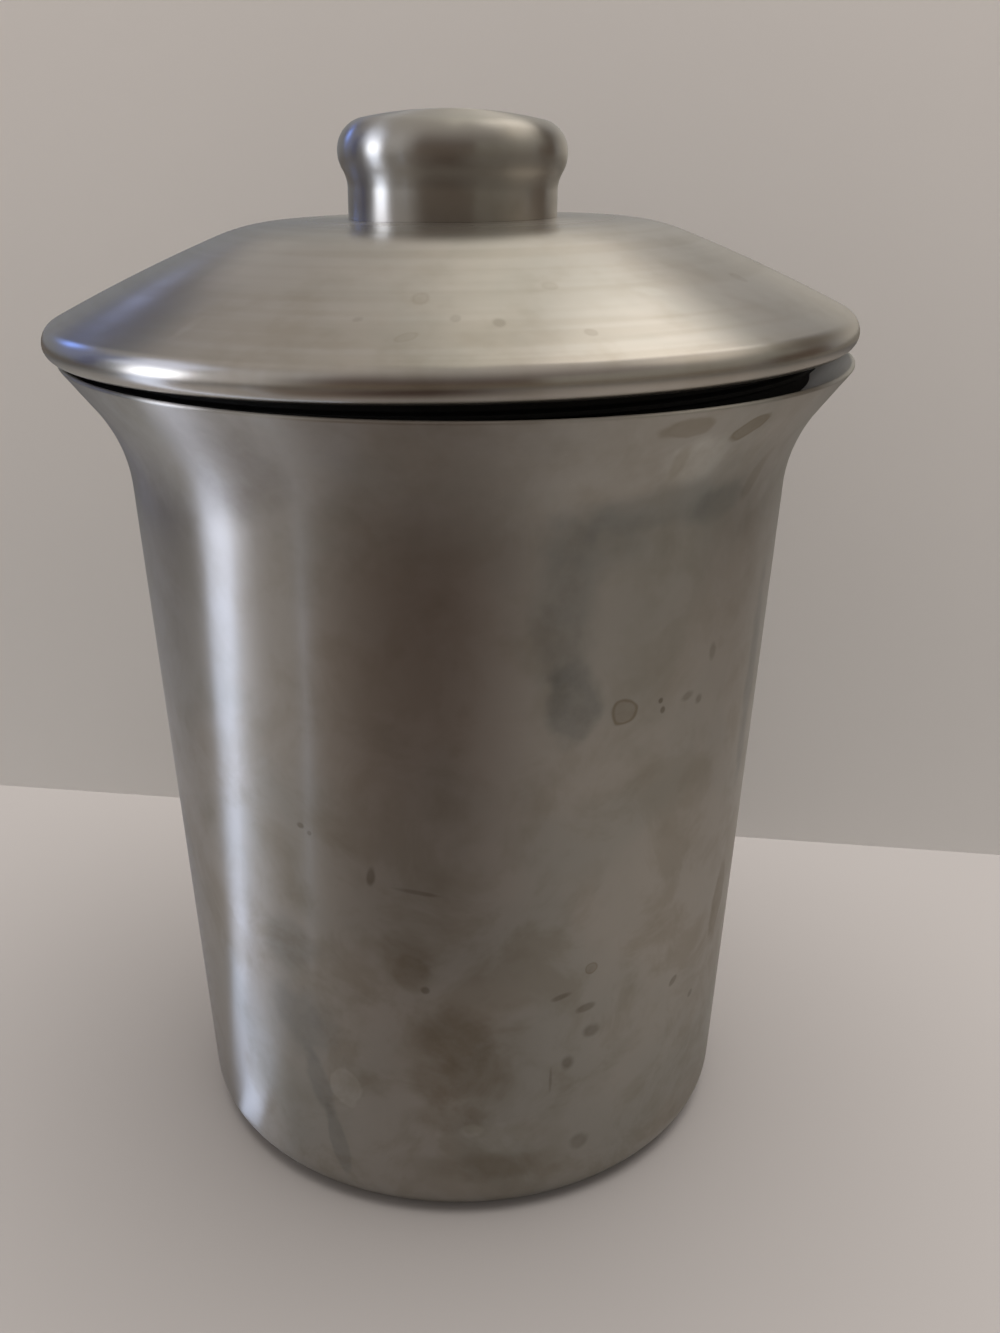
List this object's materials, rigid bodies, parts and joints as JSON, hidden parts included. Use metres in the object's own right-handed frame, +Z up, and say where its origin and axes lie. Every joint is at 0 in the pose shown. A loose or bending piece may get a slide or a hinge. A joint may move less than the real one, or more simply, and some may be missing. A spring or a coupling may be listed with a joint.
{
  "type": "coffee canister",
  "caption": "Round stainless steel canister with a flared mouth and a domed lift-off lid that carries a hollow knob and a rubber seal.",
  "frame": {"origin": "centre of the canister's foot, on the surface it stands on", "axes": "+Z up along the canister's axis; -Y is the side the picture was taken from; +X is to the right there"},
  "size_m": [0.1416, 0.1417, 0.1908],
  "materials": {
    "canister_steel": "satin stainless steel, finely brushed, with water marks",
    "lid_steel": "satin stainless steel, spun and brushed round the axis",
    "liner_steel": "plain satin stainless steel",
    "knob_steel": "finely polished satin stainless steel",
    "plated_steel": "bright zinc plate",
    "seal_rubber": "matt black moulded rubber"
  },
  "bodies": {
    "canister": {"canister_body": "canister_steel"},
    "lid": {"lid_shell": "lid_steel", "lid_liner": "liner_steel", "seal_ring": "seal_rubber", "knob_shell": "knob_steel", "knob_insert": "plated_steel", "knob_screw": "plated_steel", "knob_washer": "plated_steel", "knob_lock_washer": "plated_steel"}
  },
  "joints": [
    {"name": "lid_lift", "type": "slide", "parent": "canister", "child": "lid", "axis": [0, 0, 1], "range_m": [0, 0.12]}
  ]
}
